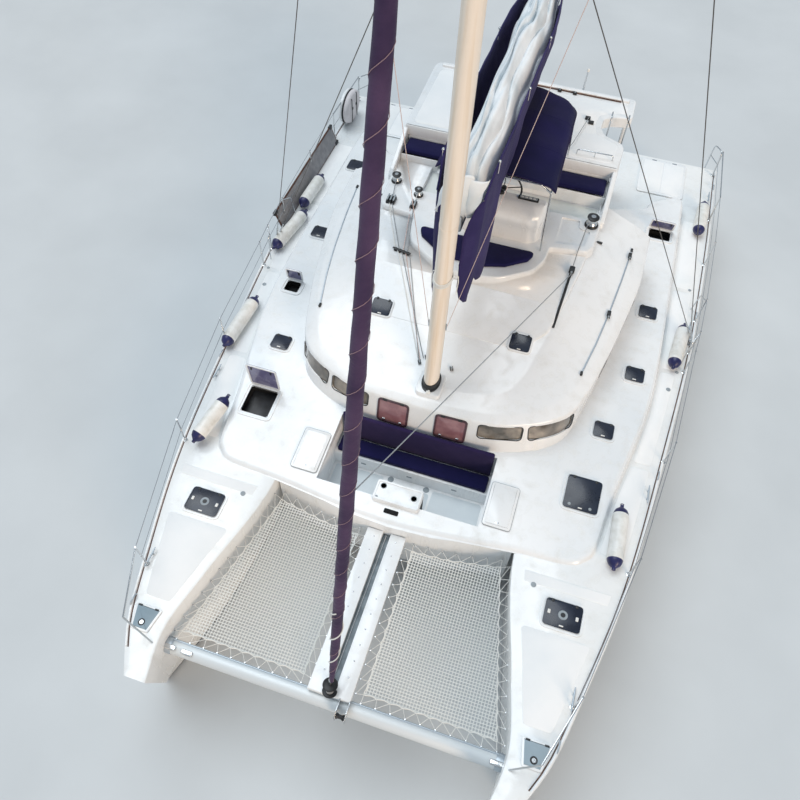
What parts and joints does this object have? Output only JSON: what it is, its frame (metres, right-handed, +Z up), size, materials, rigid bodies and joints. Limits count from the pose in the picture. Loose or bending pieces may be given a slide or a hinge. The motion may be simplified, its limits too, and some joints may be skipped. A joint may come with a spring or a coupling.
{
  "type": "cruising sailing catamaran",
  "caption": "Flybridge cruising sailing catamaran afloat at anchor, furled genoa, mainsail flaked in its boom bag, trampolines and forward cockpit.",
  "frame": {"origin": "middle of the waterline plane, amidships on the centre plane", "axes": "+X to port, -Y to the bows, +Z up"},
  "size_m": [8.52, 15.54, 26.6],
  "materials": {
    "gelcoat": "white gelcoat",
    "antifouling": "dark bottom paint",
    "alloy": "anodised and painted aluminium",
    "mast_paint": "cream painted aluminium",
    "bronze": "cast bronze",
    "iron": "painted cast iron",
    "non_skid": "moulded non-skid lid",
    "tinted_glass": "brown tinted glazing",
    "acrylic": "dark acrylic hatch lid",
    "black_plastic": "black leather-look rim",
    "navy_fabric": "navy acrylic canvas",
    "sailcloth": "white sailcloth",
    "net": "white square net",
    "steel": "polished stainless steel"
  },
  "bodies": {
    "boat": {"hull_port": "gelcoat", "hull_starboard": "gelcoat", "bridge_deck": "gelcoat", "raised_deck": "gelcoat", "house": "gelcoat", "aft_bulkhead": "gelcoat", "flybridge": "gelcoat", "saloon_furniture": "gelcoat", "cockpit_table": "gelcoat", "centre_beam": "gelcoat", "saildrive_port": "alloy", "saildrive_starboard": "alloy", "crossbeam": "alloy", "mast": "mast_paint", "engine_port": "iron", "engine_starboard": "iron", "saloon_glass": "tinted_glass", "aft_glass": "tinted_glass", "bench_cushion_port": "navy_fabric", "bench_cushion_starboard": "navy_fabric", "sunpad": "navy_fabric", "bimini": "navy_fabric", "cockpit_cushion": "navy_fabric", "front_cushion": "navy_fabric", "front_backrest": "navy_fabric", "furled_genoa": "navy_fabric", "trampoline_port": "net", "trampoline_starboard": "net", "bimini_frame": "steel", "shrouds_port": "steel", "shrouds_starboard": "steel", "guard_rail_port": "steel", "guard_rail_starboard": "steel"},
    "boom": {"boom": "alloy", "sail_bag": "navy_fabric", "stowed_mainsail": "sailcloth"},
    "steering_wheel": {"steering_wheel": "black_plastic"},
    "saloon_door": {"saloon_door": "tinted_glass"},
    "rudder_port": {"rudder_port": "antifouling"},
    "propeller_port": {"propeller_port": "bronze"},
    "rudder_starboard": {"rudder_starboard": "antifouling"},
    "propeller_starboard": {"propeller_starboard": "bronze"},
    "vent_hatch_port": {"vent_hatch_port": "acrylic"},
    "vent_hatch_starboard": {"vent_hatch_starboard": "acrylic"},
    "mid_hatch_port": {"mid_hatch_port": "acrylic"},
    "mid_hatch_starboard": {"mid_hatch_starboard": "acrylic"},
    "fore_hatch_port": {"fore_hatch_port": "acrylic"},
    "fore_hatch_starboard": {"fore_hatch_starboard": "acrylic"},
    "waist_hatch_port": {"waist_hatch_port": "acrylic"},
    "waist_hatch_starboard": {"waist_hatch_starboard": "acrylic"},
    "side_hatch_port": {"side_hatch_port": "acrylic"},
    "side_hatch_starboard": {"side_hatch_starboard": "acrylic"},
    "aft_hatch_port": {"aft_hatch_port": "acrylic"},
    "aft_hatch_starboard": {"aft_hatch_starboard": "acrylic"},
    "bow_lid_port": {"bow_lid_port": "non_skid"},
    "locker_lid_port": {"locker_lid_port": "non_skid"},
    "engine_lid_port": {"engine_lid_port": "non_skid"},
    "bow_lid_starboard": {"bow_lid_starboard": "non_skid"},
    "locker_lid_starboard": {"locker_lid_starboard": "non_skid"},
    "engine_lid_starboard": {"engine_lid_starboard": "non_skid"}
  },
  "joints": [
    {"name": "boom_swing", "type": "hinge", "parent": "boat", "child": "boom", "pos_m": [0, -1.99, 5.62], "axis": [0, 0, 1], "range_deg": [-45, 45]},
    {"name": "rudder_port_turn", "type": "hinge", "parent": "boat", "child": "rudder_port", "pos_m": [3.1, 6.62, -0.8], "axis": [0, 0, 1], "range_deg": [-35, 35]},
    {"name": "propeller_port_spin", "type": "hinge", "parent": "boat", "child": "propeller_port", "pos_m": [3.095, 4.66, -1.06], "axis": [0, 1, 0], "continuous": true},
    {"name": "rudder_starboard_turn", "type": "hinge", "parent": "boat", "child": "rudder_starboard", "pos_m": [-3.1, 6.62, -0.8], "axis": [0, 0, 1], "range_deg": [-35, 35]},
    {"name": "propeller_starboard_spin", "type": "hinge", "parent": "boat", "child": "propeller_starboard", "pos_m": [-3.095, 4.66, -1.06], "axis": [0, 1, 0], "continuous": true},
    {"name": "steering_wheel_turn", "type": "hinge", "parent": "boat", "child": "steering_wheel", "pos_m": [0.215, 0.86, 4.23], "axis": [0, -1, 0], "range_deg": [-420, 420]},
    {"name": "saloon_door_slide", "type": "slide", "parent": "boat", "child": "saloon_door", "axis": [1, 0, 0], "range_m": [0, 0.9]},
    {"name": "vent_hatch_port_lift", "type": "hinge", "parent": "boat", "child": "vent_hatch_port", "pos_m": [2.785, -4.852, 1.974], "axis": [-1, 0, 0], "range_deg": [0, 105]},
    {"name": "vent_hatch_starboard_lift", "type": "hinge", "parent": "boat", "child": "vent_hatch_starboard", "pos_m": [-2.785, -4.852, 1.974], "axis": [-1, 0, 0], "range_deg": [0, 105]},
    {"name": "mid_hatch_port_lift", "type": "hinge", "parent": "boat", "child": "mid_hatch_port", "pos_m": [2.71, -2.8808, 2.169], "axis": [-1, 0, 0], "range_deg": [0, 105]},
    {"name": "mid_hatch_starboard_lift", "type": "hinge", "parent": "boat", "child": "mid_hatch_starboard", "pos_m": [-2.71, -2.8808, 2.169], "axis": [-1, 0, 0], "range_deg": [-92, 13]},
    {"name": "fore_hatch_port_lift", "type": "hinge", "parent": "boat", "child": "fore_hatch_port", "pos_m": [2.83, -1.787, 2.224], "axis": [-1, 0, 0], "range_deg": [0, 105]},
    {"name": "fore_hatch_starboard_lift", "type": "hinge", "parent": "boat", "child": "fore_hatch_starboard", "pos_m": [-2.83, -1.787, 2.224], "axis": [-1, 0, 0], "range_deg": [0, 105]},
    {"name": "waist_hatch_port_lift", "type": "hinge", "parent": "boat", "child": "waist_hatch_port", "pos_m": [3.17, -0.477, 2.224], "axis": [-1, 0, 0], "range_deg": [0, 105]},
    {"name": "waist_hatch_starboard_lift", "type": "hinge", "parent": "boat", "child": "waist_hatch_starboard", "pos_m": [-3.17, -0.477, 2.224], "axis": [-1, 0, 0], "range_deg": [-80, 25]},
    {"name": "side_hatch_port_lift", "type": "hinge", "parent": "boat", "child": "side_hatch_port", "pos_m": [3.22, 1.043, 2.224], "axis": [-1, 0, 0], "range_deg": [0, 105]},
    {"name": "side_hatch_starboard_lift", "type": "hinge", "parent": "boat", "child": "side_hatch_starboard", "pos_m": [-3.22, 1.043, 2.224], "axis": [-1, 0, 0], "range_deg": [0, 105]},
    {"name": "aft_hatch_port_lift", "type": "hinge", "parent": "boat", "child": "aft_hatch_port", "pos_m": [3.2, 3.253, 2.224], "axis": [-1, 0, 0], "range_deg": [-65, 40]},
    {"name": "aft_hatch_starboard_lift", "type": "hinge", "parent": "boat", "child": "aft_hatch_starboard", "pos_m": [-3.2, 3.253, 2.224], "axis": [-1, 0, 0], "range_deg": [0, 105]},
    {"name": "bow_lid_port_lift", "type": "hinge", "parent": "boat", "child": "bow_lid_port", "pos_m": [2.77, -6.752, 1.974], "axis": [-1, 0, 0], "range_deg": [0, 80]},
    {"name": "locker_lid_port_lift", "type": "hinge", "parent": "boat", "child": "locker_lid_port", "pos_m": [1.788, -3.7324, 2.0839], "axis": [0, 0.995, 0.0995], "range_deg": [0, 90]},
    {"name": "engine_lid_port_lift", "type": "hinge", "parent": "boat", "child": "engine_lid_port", "pos_m": [3.1, 4.64, 1.974], "axis": [1, 0, 0], "range_deg": [0, 70]},
    {"name": "bow_lid_starboard_lift", "type": "hinge", "parent": "boat", "child": "bow_lid_starboard", "pos_m": [-2.77, -6.752, 1.974], "axis": [-1, 0, 0], "range_deg": [0, 80]},
    {"name": "locker_lid_starboard_lift", "type": "hinge", "parent": "boat", "child": "locker_lid_starboard", "pos_m": [-1.788, -3.7324, 2.0839], "axis": [0, -0.995, -0.0995], "range_deg": [0, 90]},
    {"name": "engine_lid_starboard_lift", "type": "hinge", "parent": "boat", "child": "engine_lid_starboard", "pos_m": [-3.1, 4.64, 1.974], "axis": [1, 0, 0], "range_deg": [0, 70]}
  ],
  "couplings": [
    {"joint": "rudder_starboard_turn", "follows": "rudder_port_turn", "ratio": 1},
    {"joint": "steering_wheel_turn", "follows": "rudder_port_turn", "ratio": 12}
  ]
}
